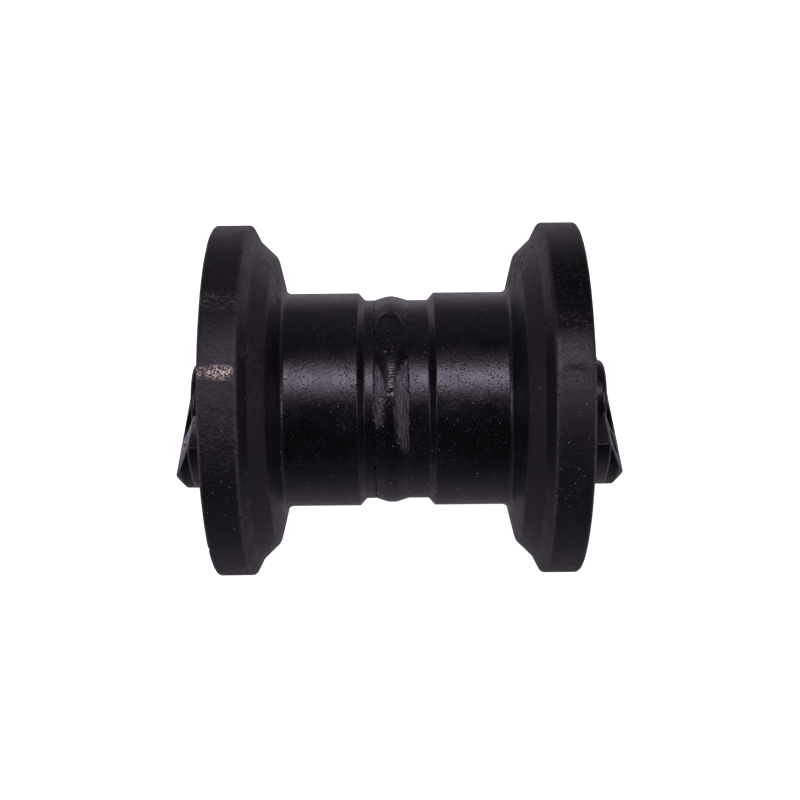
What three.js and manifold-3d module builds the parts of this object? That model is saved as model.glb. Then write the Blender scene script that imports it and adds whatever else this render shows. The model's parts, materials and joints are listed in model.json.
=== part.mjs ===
// Sealed double-flange track roller for a small tracked excavator.
//
// Frame, in millimetres: X runs along the roller's axis, +Z is the normal of the mounting flats on
// the end collars, and the origin is on the axis, midway between the two ends of the shaft assembly.
//
// Fixed pieces: shaft, end collars, lock pins, outer halves of the face seals, plug.
// Turning pieces: the two shell halves, their weld, bushings, thrust washers, inner seal halves.

import * as THREE from "three";
import { mergeVertices } from "three/addons/utils/BufferGeometryUtils.js";
import Module from "manifold-3d";

const wasm = await Module();
wasm.setup();

// ---------------------------------------------------------------- driving dimensions

const SEGMENTS = 36; // facets round every turned surface, so that a 30 degree turn maps it onto itself
const RUNNING_GAP = 0.15; // radial clearance of a fitted pair
const FACE_GAP = 0.3; // gap between pieces that bear on each other
const END_FLOAT = 0.8; // the shell stands this far from centre, against its left thrust washer

// Shell: two forged halves that mirror each other, except that the weld stands a little left of
// centre. From the rim inwards a flange has a steep guiding face, an easier slope, a shoulder, and
// a steep face down to the tread; a short step leads from the tread down to the neck.
const FLANGE_R = 75;
const SHELL_HALF = 76.1; // mid-plane to the outer face of a flange
const RIM_INNER_X = 61;
const RIM_ROUND = 1.4;
const GUIDE_X = 57.7; // where the guiding face meets the slope
const GUIDE_R = 68.5;
const SHOULDER_X = 50.9;
const SHOULDER_R = 62;
const SHOULDER_ROUND = 1;
const TREAD_R = 45.7;
const TREAD_OUTER_X = 46.9;
const TREAD_FILLET = 2.4;
const TREAD_INNER_X = 15.9;
const NECK_R = 42.6;
const NECK_X = 13.2;
const STEP_ROUND = 0.6;

const WELD_X = -2.2;
const WELD_HALF = 7.6;
const WELD_CROWN = 1.7; // height of the crown over the neck
const WELD_DEPTH = 6.5; // root of the weld under the neck
const WELD_GROOVE_GAP = 0.45; // from the edge of the bead to the edge of its groove

// Inside of the shell, from its mid-plane outwards.
const RESERVOIR_R = 24;
const SEAT_START_X = 22;
const BUSHING_SEAT_R = 21.5;
const SEAT_END_X = 56;
const THRUST_RECESS_R = 26;
const SEAL_FLOOR_X = 60.4;
const SEAL_SEAT_R = 31.5;
const MOUTH_X = 67.8; // from here out the shell clears the hub of the end collar
const MOUTH_R = 36;

// Shaft.
const SHAFT_R = 16;
const SHAFT_HALF = 87.9;
const SHAFT_ROUND = 2;
const OIL_BORE_R = 4;
const OIL_BORE_END_X = 12;
const OIL_OUTLET_R = 2.5;
const ORING_X = 70;
const ORING_WIRE_R = 1.1;
const ORING_SIDE_GAP = 0.4; // from the rubber ring to each wall of its groove
const ORING_SINK = 0.05; // the rubber ring's crest lies this far under the shaft's surface

// Plug in the left end of the shaft.
const PLUG_SEAT_R = 7;
const PLUG_SEAT_DEPTH = 12;
const PLUG_SINK = 0.8; // the plug's head lies this far inside the end of the shaft
const PLUG_CHAMFER = 0.6;
const PLUG_LENGTH = 9;
const PLUG_KEY_R = 3.4;
const PLUG_KEY_DEPTH = 5;

// End collars.
const COLLAR_R = 37.5;
const COLLAR_INNER_X = 79; // inner face of the lug
const COLLAR_END_X = 94.7;
const COLLAR_CHAMFER = 3.8;
const HUB_R = 34.5; // the part of the collar that enters the mouth of the shell
const HUB_START_X = 69;
const NOSE_R = 23.5;
const NOSE_X = 60.2; // thrust face
const CUP_FLOOR_X = 74.6;
const FLAT_Z = 4.7; // height of the mounting flat over the axis
const FLAT_END_X = 86.6; // where the flat ends and the bevel starts
const BEVEL_LOW_Z = -17.7; // where the bevel reaches the end plane

const TAPPED_R = 5.1;
const TAPPED_DEPTH = 9;
const TAPPED_Y = 22.5; // half the spacing of the two tapped holes of a collar

const PIN_R = 3;
const PIN_HOLE_R = 3.3;
const PIN_X = 83; // along the shaft
const PIN_Y = 15.5; // across it, so that the pin bites into the side of the shaft
const PIN_TOP_Z = 3.9;
const PIN_BOTTOM_Z = -20;

// Face seals: a pair of metal rings, each pressed on its mate by a rubber ring.
const SEAL_PLANE_X = 67.5;
const SEAL_BORE_R = 25;
const SEAL_BODY_R = 27.2;
const SEAL_FACE_R = 31;
const SEAL_FACE_DEPTH = 1.5; // thickness of the flange that carries the sealing face
const SEAL_FACE_TAPER = 1; // its back slopes down to the body over this length
const SEAL_LENGTH = 5.4;
const TORIC_R = 29.35;
const TORIC_WIRE_R = 1.75;
const TORIC_OFFSET = 4.2; // from the seal plane to the centre of the rubber ring

const WASHER_THICKNESS = 3;

// Facets round rods and holes.
const FINE_FACETS = 18;
const PIN_FACETS = 16;
const OUTLET_FACETS = 12;
const KEY_SIDES = 6;
const WIRE_SIDES = 6;

// ---------------------------------------------------------------- materials

function finish(color, roughness, metalness) {
  return new THREE.MeshStandardMaterial({ color, roughness, metalness });
}

const BLACK_PAINT = () => finish(0x16141a, 0.42, 0.1);
const GROUND_STEEL = () => finish(0x9a9a9c, 0.25, 1);
const BARE_STEEL = () => finish(0x77777a, 0.4, 1);
const SEAL_IRON = () => finish(0x5c5d60, 0.35, 1);
const BRONZE = () => finish(0xb08a4e, 0.4, 1);
const RUBBER = () => finish(0x141414, 0.85, 0);

// ---------------------------------------------------------------- geometry helpers

// A solid turned about X from a closed outline of [x, radius] points, given in either direction.
function turned(outline) {
  const area = outline.reduce((sum, [x, r], i) => {
    const [nextX, nextR] = outline[(i + 1) % outline.length];
    return sum + r * nextX - nextR * x;
  }, 0);
  const loop = area > 0 ? outline : [...outline].reverse();
  const points = [...loop, loop[0]].map(([x, r]) => new THREE.Vector2(r, x));
  return new THREE.LatheGeometry(points, SEGMENTS).rotateZ(-Math.PI / 2);
}

// The same outline on the other side of the mid-plane, when side is -1.
function onSide(side, outline) {
  return outline.map(([x, r]) => [side * x, r]);
}

// Two points that cut a corner off, at a distance from it along each of its sides.
function chamfered(before, corner, after, distance) {
  return [before, after].map((end) => {
    const side = new THREE.Vector2(end[0] - corner[0], end[1] - corner[1]).setLength(distance);
    return [corner[0] + side.x, corner[1] + side.y];
  });
}

// The same outline moved along the axis.
function shifted(distance, outline) {
  return outline.map(([x, r]) => [x + distance, r]);
}

// A ring with a rectangular section.
function ringOutline(startX, endX, innerR, outerR) {
  return [
    [startX, innerR],
    [startX, outerR],
    [endX, outerR],
    [endX, innerR],
  ];
}

// A ring with a hexagonal section, which stands for a round wire of rubber.
function wireOutline(centreX, centreR, wireR) {
  return Array.from({ length: WIRE_SIDES }, (_, i) => {
    const angle = (i * 2 * Math.PI) / WIRE_SIDES;
    return [centreX + wireR * Math.cos(angle), centreR + wireR * Math.sin(angle)];
  });
}

// A rod of round section from one point to another.
function rod(from, to, radius, facets) {
  const along = new THREE.Vector3().subVectors(to, from);
  const geometry = new THREE.CylinderGeometry(radius, radius, along.length(), facets);
  const turn = new THREE.Quaternion().setFromUnitVectors(
    new THREE.Vector3(0, 1, 0),
    along.clone().normalize(),
  );
  return geometry.applyQuaternion(turn).translate(
    (from.x + to.x) / 2,
    (from.y + to.y) / 2,
    (from.z + to.z) / 2,
  );
}

// An outline of [x, z] points drawn out along Y, to the same depth on both sides of the axis.
function drawnAlongY(outline, halfWidth) {
  const shape = new THREE.Shape(outline.map(([x, z]) => new THREE.Vector2(x, z)));
  const options = { depth: 2 * halfWidth, bevelEnabled: false };
  return new THREE.ExtrudeGeometry(shape, options)
    .rotateX(Math.PI / 2)
    .translate(0, halfWidth, 0);
}

// A closed geometry as a manifold-3d solid.
function solidOf(geometry) {
  const plain = geometry.clone();
  plain.deleteAttribute("normal");
  plain.deleteAttribute("uv");
  const merged = mergeVertices(plain, 1e-4);
  return new wasm.Manifold(
    new wasm.Mesh({
      numProp: 3,
      vertProperties: new Float32Array(merged.attributes.position.array),
      triVerts: new Uint32Array(merged.index.array),
    }),
  );
}

// The geometry of a body with some cutters taken away from it.
function cut(body, cutters) {
  const solid = cutters.reduce((rest, cutter) => rest.subtract(solidOf(cutter)), solidOf(body));
  const mesh = solid.getMesh();
  const geometry = new THREE.BufferGeometry();
  geometry.setAttribute("position", new THREE.BufferAttribute(mesh.vertProperties, 3));
  geometry.setIndex(new THREE.BufferAttribute(mesh.triVerts, 1));
  geometry.computeVertexNormals();
  return geometry;
}

// ---------------------------------------------------------------- turning pieces

// What shows of one half of the shell, from the neck out to the flange's outer face. Each corner
// is an x, a radius, and how far its rounding reaches along its sides.
function shellSurface() {
  const corners = [
    [NECK_X, NECK_R, STEP_ROUND],
    [TREAD_INNER_X, TREAD_R, STEP_ROUND],
    [TREAD_OUTER_X, TREAD_R, TREAD_FILLET],
    [SHOULDER_X, SHOULDER_R, SHOULDER_ROUND],
    [GUIDE_X, GUIDE_R, SHOULDER_ROUND],
    [RIM_INNER_X, FLANGE_R, RIM_ROUND],
    [SHELL_HALF, FLANGE_R, RIM_ROUND],
  ];
  const ends = [[0, NECK_R], ...corners, [SHELL_HALF, MOUTH_R]];
  return corners.flatMap((corner, i) => chamfered(ends[i], corner, ends[i + 2], corner[2]));
}

// One half of the shell. The weld stands off the mid-plane, so the halves differ in length there.
function shellHalf(side) {
  const joint = side * WELD_X + FACE_GAP / 2;
  const grooveEdge = side * WELD_X + WELD_HALF + WELD_GROOVE_GAP;
  const rootR = NECK_R - WELD_DEPTH - FACE_GAP;
  return turned(
    onSide(side, [
      [joint, rootR],
      [grooveEdge, NECK_R],
      ...shellSurface(),
      [SHELL_HALF, MOUTH_R],
      [MOUTH_X, MOUTH_R],
      [MOUTH_X, SEAL_SEAT_R],
      [SEAL_FLOOR_X, SEAL_SEAT_R],
      [SEAL_FLOOR_X, THRUST_RECESS_R],
      [SEAT_END_X, THRUST_RECESS_R],
      [SEAT_END_X, BUSHING_SEAT_R],
      [SEAT_START_X, BUSHING_SEAT_R],
      [SEAT_START_X, RESERVOIR_R],
      [joint, RESERVOIR_R],
    ]),
  );
}

// The bead that fills the groove between the halves and stands over the neck.
function weldBead() {
  const halfWay = WELD_HALF / 2;
  const halfUp = NECK_R + WELD_CROWN / 2;
  return turned(
    shifted(WELD_X, [
      [-WELD_HALF, NECK_R],
      [-halfWay, halfUp],
      [0, NECK_R + WELD_CROWN],
      [halfWay, halfUp],
      [WELD_HALF, NECK_R],
      [0, NECK_R - WELD_DEPTH],
    ]),
  );
}

function bushing(side) {
  const start = SEAT_START_X + FACE_GAP;
  const end = SEAT_END_X - FACE_GAP;
  return turned(
    onSide(side, ringOutline(start, end, SHAFT_R + RUNNING_GAP, BUSHING_SEAT_R - RUNNING_GAP)),
  );
}

function thrustWasher(side) {
  const start = SEAT_END_X + FACE_GAP / 2;
  const outline = ringOutline(
    start,
    start + WASHER_THICKNESS,
    SHAFT_R + FACE_GAP,
    THRUST_RECESS_R - FACE_GAP,
  );
  return turned(onSide(side, outline));
}

// ---------------------------------------------------------------- face seals

// A seal ring and its rubber ring, drawn with the seal plane at x = 0 and the ring at x < 0.
function sealRingOutline() {
  const face = -FACE_GAP / 3;
  return [
    [face, SEAL_BORE_R],
    [face, SEAL_FACE_R],
    [face - SEAL_FACE_DEPTH, SEAL_FACE_R],
    [face - SEAL_FACE_DEPTH - SEAL_FACE_TAPER, SEAL_BODY_R],
    [-SEAL_LENGTH, SEAL_BODY_R],
    [-SEAL_LENGTH, SEAL_BORE_R],
  ];
}

function toricOutline() {
  return wireOutline(-TORIC_OFFSET, TORIC_R, TORIC_WIRE_R);
}

// The seal plane floats midway between the floors of the shell and of the collar.
function sealPlane(side) {
  return side * SEAL_PLANE_X - END_FLOAT / 2;
}

// Turning halves stand on the shell's side of the plane, fixed halves on the collar's.
function placedSeal(side, turning, outline) {
  const direction = turning ? side : -side;
  return turned(shifted(sealPlane(side), onSide(direction, outline)));
}

// ---------------------------------------------------------------- fixed pieces

function shaft() {
  const grooveHalf = ORING_WIRE_R + ORING_SIDE_GAP;
  const easedEdge = SHAFT_ROUND / 3;
  const grooveR = SHAFT_R - 2 * ORING_WIRE_R - RUNNING_GAP;
  const half = [
    [ORING_X - grooveHalf, SHAFT_R],
    [ORING_X - grooveHalf, grooveR],
    [ORING_X + grooveHalf, grooveR],
    [ORING_X + grooveHalf, SHAFT_R],
    [SHAFT_HALF - SHAFT_ROUND, SHAFT_R],
    [SHAFT_HALF - easedEdge, SHAFT_R - easedEdge],
    [SHAFT_HALF, SHAFT_R - SHAFT_ROUND],
  ];
  const outline = [
    ...onSide(-1, half).reverse(),
    ...half,
    [SHAFT_HALF, 0],
    [OIL_BORE_END_X, 0],
    [OIL_BORE_END_X - OIL_BORE_R, OIL_BORE_R],
    [-SHAFT_HALF + PLUG_SEAT_DEPTH, OIL_BORE_R],
    [-SHAFT_HALF + PLUG_SEAT_DEPTH, PLUG_SEAT_R],
    [-SHAFT_HALF, PLUG_SEAT_R],
  ];
  const outlet = rod(
    new THREE.Vector3(0, 0, 0),
    new THREE.Vector3(0, 0, 2 * SHAFT_R),
    OIL_OUTLET_R,
    OUTLET_FACETS,
  );
  return cut(turned(outline), [outlet, pinHole(-1), pinHole(1)]);
}

// The space for a lock pin, open at the top so that the pin can be driven in from the flat.
function pinHole(side) {
  return rod(
    new THREE.Vector3(side * PIN_X, PIN_Y, PIN_BOTTOM_Z - FACE_GAP),
    new THREE.Vector3(side * PIN_X, PIN_Y, COLLAR_R),
    PIN_HOLE_R,
    PIN_FACETS,
  );
}

function lockPin(side) {
  return rod(
    new THREE.Vector3(side * PIN_X, PIN_Y, PIN_BOTTOM_Z),
    new THREE.Vector3(side * PIN_X, PIN_Y, PIN_TOP_Z),
    PIN_R,
    PIN_FACETS,
  );
}

// Outward normal of a collar's bevel.
function bevelNormal(side) {
  const run = COLLAR_END_X - FLAT_END_X;
  const drop = FLAT_Z - BEVEL_LOW_Z;
  return new THREE.Vector3(side * drop, 0, run).normalize();
}

// A blind hole square to the bevel, at the middle of its height.
function tappedHole(side, y) {
  const mouth = new THREE.Vector3(
    (side * (FLAT_END_X + COLLAR_END_X)) / 2,
    y,
    (FLAT_Z + BEVEL_LOW_Z) / 2,
  );
  const normal = bevelNormal(side);
  return rod(
    mouth.clone().addScaledVector(normal, -TAPPED_DEPTH),
    mouth.clone().addScaledVector(normal, TAPPED_DEPTH),
    TAPPED_R,
    FINE_FACETS,
  );
}

// What is milled off the lug: all that stands over the flat and outside the bevel.
function lugCutter(side) {
  const run = COLLAR_END_X - FLAT_END_X;
  const drop = FLAT_Z - BEVEL_LOW_Z;
  const outline = [
    [COLLAR_INNER_X, FLAT_Z],
    [FLAT_END_X, FLAT_Z],
    [FLAT_END_X + 2 * run, FLAT_Z - 2 * drop],
    [FLAT_END_X + 2 * run, 2 * COLLAR_R],
    [COLLAR_INNER_X, 2 * COLLAR_R],
  ];
  return drawnAlongY(onSide(side, outline), 2 * COLLAR_R);
}

function endCollar(side) {
  const boreR = SHAFT_R + RUNNING_GAP;
  const cupR = SEAL_SEAT_R;
  const blank = turned(
    onSide(side, [
      [NOSE_X, boreR],
      [NOSE_X, NOSE_R],
      [CUP_FLOOR_X, NOSE_R],
      [CUP_FLOOR_X, cupR],
      [HUB_START_X, cupR],
      [HUB_START_X, HUB_R],
      [COLLAR_INNER_X, HUB_R],
      [COLLAR_INNER_X, COLLAR_R],
      [COLLAR_END_X - COLLAR_CHAMFER, COLLAR_R],
      [COLLAR_END_X, COLLAR_R - COLLAR_CHAMFER],
      [COLLAR_END_X, boreR],
    ]),
  );
  return cut(blank, [
    lugCutter(side),
    tappedHole(side, TAPPED_Y),
    tappedHole(side, -TAPPED_Y),
    pinHole(side),
  ]);
}

function shaftOring(side) {
  const centreR = SHAFT_R - ORING_WIRE_R - ORING_SINK;
  return turned(onSide(side, wireOutline(ORING_X, centreR, ORING_WIRE_R)));
}

// A plug just under the end of the shaft, with a six-sided key hole.
function oilPlug() {
  const outerX = -SHAFT_HALF + PLUG_SINK;
  const plugR = PLUG_SEAT_R - FACE_GAP;
  const body = turned([
    [outerX, 0],
    [outerX, plugR - PLUG_CHAMFER],
    [outerX + PLUG_CHAMFER, plugR],
    [outerX + PLUG_LENGTH, plugR],
    [outerX + PLUG_LENGTH, 0],
  ]);
  const key = rod(
    new THREE.Vector3(outerX - PLUG_KEY_DEPTH, 0, 0),
    new THREE.Vector3(outerX + PLUG_KEY_DEPTH, 0, 0),
    PLUG_KEY_R,
    KEY_SIDES,
  );
  return cut(body, [key]);
}

function plugSeal() {
  const start = -SHAFT_HALF + PLUG_SINK + PLUG_LENGTH + FACE_GAP;
  const end = -SHAFT_HALF + PLUG_SEAT_DEPTH - FACE_GAP;
  return turned(ringOutline(start, end, OIL_BORE_R + FACE_GAP, PLUG_SEAT_R - FACE_GAP));
}

// ---------------------------------------------------------------- assembly

function named(name, geometry, material) {
  const mesh = new THREE.Mesh(geometry, material);
  mesh.name = name;
  return mesh;
}

const fixed = new THREE.Group();
fixed.add(
  named("shaft", shaft(), GROUND_STEEL()),
  named("oil_plug", oilPlug(), BARE_STEEL()),
  named("plug_seal", plugSeal(), RUBBER()),
);

// The shell and what is pressed into it are drawn about the shell's own centre.
const turning = new THREE.Group();
turning.position.x = -END_FLOAT;
turning.add(named("weld_bead", weldBead(), BLACK_PAINT()));

// The turning seal halves are drawn in the shaft's frame, since they float.
const turningSeals = new THREE.Group();

for (const [place, side] of [
  ["left", -1],
  ["right", 1],
]) {
  turning.add(
    named(`shell_${place}`, shellHalf(side), BLACK_PAINT()),
    named(`bushing_${place}`, bushing(side), BRONZE()),
    named(`thrust_washer_${place}`, thrustWasher(side), BRONZE()),
  );
  turningSeals.add(
    named(`inner_seal_ring_${place}`, placedSeal(side, true, sealRingOutline()), SEAL_IRON()),
    named(`inner_seal_rubber_${place}`, placedSeal(side, true, toricOutline()), RUBBER()),
  );
  fixed.add(
    named(`end_collar_${place}`, endCollar(side), BLACK_PAINT()),
    named(`lock_pin_${place}`, lockPin(side), BARE_STEEL()),
    named(`outer_seal_ring_${place}`, placedSeal(side, false, sealRingOutline()), SEAL_IRON()),
    named(`outer_seal_rubber_${place}`, placedSeal(side, false, toricOutline()), RUBBER()),
    named(`shaft_seal_${place}`, shaftOring(side), RUBBER()),
  );
}

const trackRoller = new THREE.Group();
trackRoller.add(fixed, turning, turningSeals);

export default trackRoller;
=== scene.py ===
"""The finished look of the track roller: fine meshes, materials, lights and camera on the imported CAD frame.

Lengths in the code are millimetres in the frame's axes, until a mesh is made. A place on a turning piece is
given by its X and by its facing: the angle in degrees about the X axis from the direction of the camera,
upwards. X on the shell and the weld is counted from the shell's or the bead's own middle."""

import json
import math

import bmesh
import bpy
import numpy as np
from mathutils import Matrix, Vector


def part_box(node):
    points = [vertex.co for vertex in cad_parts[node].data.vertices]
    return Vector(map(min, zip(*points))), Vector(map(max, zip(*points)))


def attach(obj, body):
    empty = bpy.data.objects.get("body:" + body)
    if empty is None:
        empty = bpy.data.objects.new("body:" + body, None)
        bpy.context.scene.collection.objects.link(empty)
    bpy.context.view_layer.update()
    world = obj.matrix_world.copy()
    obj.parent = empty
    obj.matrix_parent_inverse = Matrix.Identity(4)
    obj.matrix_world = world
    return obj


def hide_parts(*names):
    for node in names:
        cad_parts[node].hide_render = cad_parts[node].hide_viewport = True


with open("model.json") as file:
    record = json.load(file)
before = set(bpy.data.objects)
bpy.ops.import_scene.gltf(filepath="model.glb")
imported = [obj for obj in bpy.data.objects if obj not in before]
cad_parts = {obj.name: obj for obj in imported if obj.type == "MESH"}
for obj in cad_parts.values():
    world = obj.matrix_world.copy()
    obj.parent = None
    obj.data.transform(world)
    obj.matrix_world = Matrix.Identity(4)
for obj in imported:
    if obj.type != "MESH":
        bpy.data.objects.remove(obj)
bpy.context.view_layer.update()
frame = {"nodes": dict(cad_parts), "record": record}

MM = 0.001

# ---------------------------------------------------------------- driving dimensions, from the frame


def box_mm(node):
    """A CAD node's lowest and highest corners in millimetres."""
    return [[value / MM for value in corner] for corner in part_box(node)]


SHELL_LOW, _ = box_mm("shell_left")
_, SHELL_HIGH = box_mm("shell_right")
FLANGE_R = SHELL_HIGH[2]
SHELL_HALF = (SHELL_HIGH[0] - SHELL_LOW[0]) / 2
SHELL_X = (SHELL_HIGH[0] + SHELL_LOW[0]) / 2
WELD_LOW, WELD_HIGH = box_mm("weld_bead")
WELD_HALF = (WELD_HIGH[0] - WELD_LOW[0]) / 2
WELD_X = (WELD_HIGH[0] + WELD_LOW[0]) / 2 - SHELL_X
CROWN_R = WELD_HIGH[2]
_, COLLAR_HIGH = box_mm("end_collar_right")
COLLAR_R = COLLAR_HIGH[1]
COLLAR_END_X = COLLAR_HIGH[0]
_, SHAFT_HIGH = box_mm("shaft")
SHAFT_R = SHAFT_HIGH[1]
SHAFT_HALF = SHAFT_HIGH[0]

# The rest of the shell's section, as in the CAD.
SHOULDER_X, SHOULDER_R = 50.9, 62.0
GUIDE_X, GUIDE_R = 57.7, 68.5
RIM_X = 61.0
TREAD_INNER_X, TREAD_OUTER_X, TREAD_R = 15.9, 46.9, 45.7
NECK_X, NECK_R = 13.2, 42.6
WELD_ROOT_R = 35.8
MOUTH_X, MOUTH_R = 67.8, 36.0
SEAL_FLOOR_X, SEAL_SEAT_R = 60.4, 31.5
SEAT_END_X, THRUST_RECESS_R = 56.0, 26.0
SEAT_START_X, BUSHING_SEAT_R = 22.0, 21.5
RESERVOIR_R = 24.0

# The rest of the collars and the shaft, as in the CAD.
COLLAR_INNER_X = 79.0
HUB_R, HUB_START_X = 34.5, 69.0
NOSE_X, NOSE_R = 60.2, 23.5
CUP_FLOOR_X = 74.6
COLLAR_CHAMFER = 3.8
FLAT_Z, FLAT_END_X, BEVEL_LOW_Z = 4.7, 86.6, -17.7
TAPPED_R, TAPPED_DEPTH, TAPPED_Y = 5.1, 9.0, 22.5
PIN_X, PIN_Y, PIN_HOLE_R, PIN_BOTTOM_Z = 83.0, 15.5, 3.3, -20.0
ORING_X, ORING_GROOVE_R, ORING_GROOVE_HALF = 70.0, 13.65, 1.5
OIL_BORE_R, OIL_BORE_END_X = 4.0, 12.0
PLUG_SEAT_R, PLUG_SEAT_DEPTH = 7.0, 12.0

# ---------------------------------------------------------------- camera

CAMERA_ELEVATION = 38.0
CAMERA_DISTANCE = 600.0
CAMERA_LENS = 62.5
CAMERA_ROLL = -0.58
CAMERA_SENSOR = 36
AIM = Vector((SHELL_X + 1.30, -0.30, -0.38))


def camera_axes():
    """The directions from the roller to the camera, and up in its picture."""
    lift = math.radians(CAMERA_ELEVATION)
    towards = Vector((0, -math.cos(lift), math.sin(lift)))
    upwards = Vector((0, math.sin(lift), math.cos(lift)))
    return towards, upwards


def make_camera():
    data = bpy.data.cameras.new("camera")
    data.lens = CAMERA_LENS
    data.sensor_width = CAMERA_SENSOR
    camera = bpy.data.objects.new("camera", data)
    bpy.context.collection.objects.link(camera)
    towards, upwards = camera_axes()
    roll = Matrix.Rotation(math.radians(CAMERA_ROLL), 4, "Z")
    turn = Matrix((Vector((1, 0, 0)), upwards, towards)).transposed().to_4x4()
    place = Matrix.Translation((AIM + towards * CAMERA_DISTANCE) * MM)
    camera.matrix_world = place @ turn @ roll
    bpy.context.scene.camera = camera


# ---------------------------------------------------------------- mesh helpers

SHARP_ANGLE = math.radians(35)
ARC_STEP = 0.5


def fillet(before, corner, after, radius):
    """Points of an arc that rounds a corner, or the corner itself where radius is 0."""
    corner = np.array(corner)
    back, ahead = np.array(before) - corner, np.array(after) - corner
    back, ahead = back / np.linalg.norm(back), ahead / np.linalg.norm(ahead)
    half = math.acos(np.clip(back @ ahead, -1, 1)) / 2
    if radius <= 0 or half > math.pi / 2 - 0.01:
        return [corner]
    start, end = corner + back * radius / math.tan(half), corner + ahead * radius / math.tan(half)
    centre = corner + (back + ahead) / np.linalg.norm(back + ahead) * radius / math.sin(half)
    first = math.atan2(*(start - centre)[::-1])
    sweep = math.atan2(*(end - centre)[::-1]) - first
    sweep = (sweep + math.pi) % (2 * math.pi) - math.pi
    steps = max(3, round(abs(sweep) * radius / ARC_STEP))
    angles = first + sweep * np.arange(steps + 1) / steps
    return [centre + radius * np.array((math.cos(a), math.sin(a))) for a in angles]


def section(corners, step=0.0):
    """A closed outline from (x, r, fillet radius) corners, with its long sides cut to step if it is given."""
    points = []
    count = len(corners)
    for i, (x, r, radius) in enumerate(corners):
        points += fillet(corners[i - 1][:2], (x, r), corners[(i + 1) % count][:2], radius)
    if not step:
        return np.array(points)
    fine = []
    for start, end in zip(points, points[1:] + points[:1]):
        pieces = max(1, math.ceil(np.linalg.norm(end - start) / step))
        fine += [start + (end - start) * k / pieces for k in range(pieces)]
    return np.array(fine)


def mirrored(outline):
    """The outline on the other side of the mid-plane, turned the same way round."""
    return (np.array(outline) * (-1, 1))[::-1]


def make_object(name, points, faces):
    """A smooth mesh object from points in millimetres, with its sharp edges kept."""
    mesh = bpy.data.meshes.new(name)
    mesh.from_pydata((np.asarray(points) * MM).tolist(), [], np.asarray(faces).tolist())
    mesh.update()
    mesh.polygons.foreach_set("use_smooth", [True] * len(mesh.polygons))
    mesh.set_sharp_from_angle(angle=SHARP_ANGLE)
    made = bpy.data.objects.new(name, mesh)
    bpy.context.collection.objects.link(made)
    return made


def turned_points(outline, segments):
    """Rows of points of an outline turned about X: an array of outline points by segments by 3."""
    angles = np.arange(segments) * 2 * math.pi / segments
    x, r = outline[:, 0, None], outline[:, 1, None]
    return np.stack([x + 0 * angles, r * np.cos(angles), r * np.sin(angles)], axis=2)


def turned_faces(count, segments):
    """The quads that close turned_points, facing out for an outline that runs clockwise in (x, r)."""
    i, j = np.meshgrid(np.arange(count), np.arange(segments), indexing="ij")
    right, up = (i + 1) % count, (j + 1) % segments
    corners = [i * segments + j, right * segments + j, right * segments + up, i * segments + up]
    return np.stack(corners, axis=2).reshape(-1, 4)[:, ::-1]


def clockwise(outline):
    """The outline, turned round if need be so that it runs clockwise in (x, r)."""
    x, r = np.asarray(outline).T
    area = np.sum(x * np.roll(r, -1) - r * np.roll(x, -1))
    return outline if area < 0 else outline[::-1]


def turned_object(name, outline, segments, shape, shift):
    """An outline turned about X and moved along X by shift.

    shape(points, facing) gives how far each point moves along its normal."""
    outline = clockwise(np.asarray(outline))
    points = turned_points(outline, segments)
    points = points + surface_normals(points) * shape(points, facing_of(points))[..., None]
    points[..., 0] += shift
    return make_object(name, points.reshape(-1, 3), turned_faces(len(outline), segments))


def surface_normals(points):
    """Outward normals of turned points, from their neighbours."""
    along = np.roll(points, -1, axis=0) - np.roll(points, 1, axis=0)
    around = np.roll(points, -1, axis=1) - np.roll(points, 1, axis=1)
    normals = np.cross(around, along)
    return normals / np.maximum(np.linalg.norm(normals, axis=2, keepdims=True), 1e-9)


def facing_of(points):
    """Each point's facing in degrees."""
    towards, upwards = camera_axes()
    return np.degrees(np.arctan2(points @ np.array(upwards), points @ np.array(towards)))


NOISE_CELLS = 24
NOISE_OFFSET = 1000  # keeps every place positive


def smooth_noise(points, size, seed):
    """Smooth noise from -1 to 1 over space, with features of about size millimetres."""
    table = np.random.default_rng(seed).uniform(-1, 1, (NOISE_CELLS, NOISE_CELLS, NOISE_CELLS))
    place = points / size + NOISE_OFFSET
    cell = np.floor(place).astype(int)
    part = place - cell
    part = part * part * (3 - 2 * part)
    total = np.zeros(points.shape[:-1])
    for corner in np.ndindex(2, 2, 2):
        share = np.prod(np.where(corner, part, 1 - part), axis=-1)
        at = (cell + corner) % NOISE_CELLS
        total += share * table[at[..., 0], at[..., 1], at[..., 2]]
    return total


def bump_shape(distance, radius=1.0):
    """1 at the middle of a round mark, falling smoothly to 0 at its radius."""
    return np.clip(1 - (distance / radius) ** 2, 0, 1) ** 2


def smooth_step(low, high, value):
    """0 at low, 1 at high and smooth between them. low may be above high."""
    part = np.clip((value - low) / (high - low), 0, 1)
    return part * part * (3 - 2 * part)


def store(made, name, values):
    """Keeps one number for each point of a mesh, for its material to read."""
    layer = made.data.attributes.new(name, "FLOAT", "POINT")
    layer.data.foreach_set("value", np.asarray(values, dtype=np.float32).ravel())


# ---------------------------------------------------------------- shell

SHELL_SEGMENTS = 360
SHELL_STEP = 1.0
WELD_GAP = 0.3
WELD_OVERLAP = 0.5  # how far the bead reaches over each half's neck

DENT_CLUSTERS = (58, 66, 74, 82, -30, 14, 120, 165, 205, 250)  # facings
DENTS_IN_CLUSTER, LOOSE_DENTS, RIM_DENTS = 12, 90, 16
RIM_EDGES_X = (61.2, 76.0)
CHIPPED_CORNER = (-76.0, -54.0, 2.2, 0.9)  # X, facing, radius and depth
RIGHT_MARK_FACING = 8.6
RIGHT_MARK_DENTS_X = (64.5, 66.5, 68.5, 70.5, 72.5)


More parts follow.
